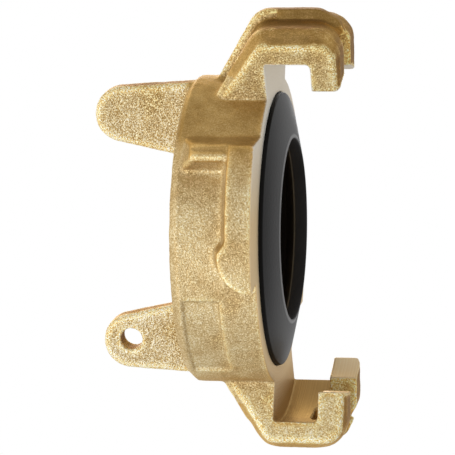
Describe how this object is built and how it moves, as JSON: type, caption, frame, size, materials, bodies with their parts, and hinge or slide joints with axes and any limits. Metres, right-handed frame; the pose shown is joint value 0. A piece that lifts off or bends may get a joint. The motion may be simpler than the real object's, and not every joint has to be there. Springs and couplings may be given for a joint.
{
  "type": "hose coupling blanking cap",
  "caption": "Cast brass blanking cap for a claw hose coupling, with hooked claws, cam flanges, finger ears, a chain hole and a rubber face seal.",
  "frame": {"origin": "centre of the base of the bounding box, on the coupling axis in the plane of the claws' fronts", "axes": "+Z along the coupling axis from the sealing face to the closed back, where the ears stand; +X towards one claw, so the chain hole is in the ear at -X; +Y towards one cam flange"},
  "size_m": [0.065, 0.0536, 0.037],
  "materials": {
    "cast_brass": "rough sandblasted casting",
    "seal_rubber": "satin"
  },
  "bodies": {
    "root": {"cap_body": "cast_brass", "seal_ring": "seal_rubber"}
  },
  "joints": []
}
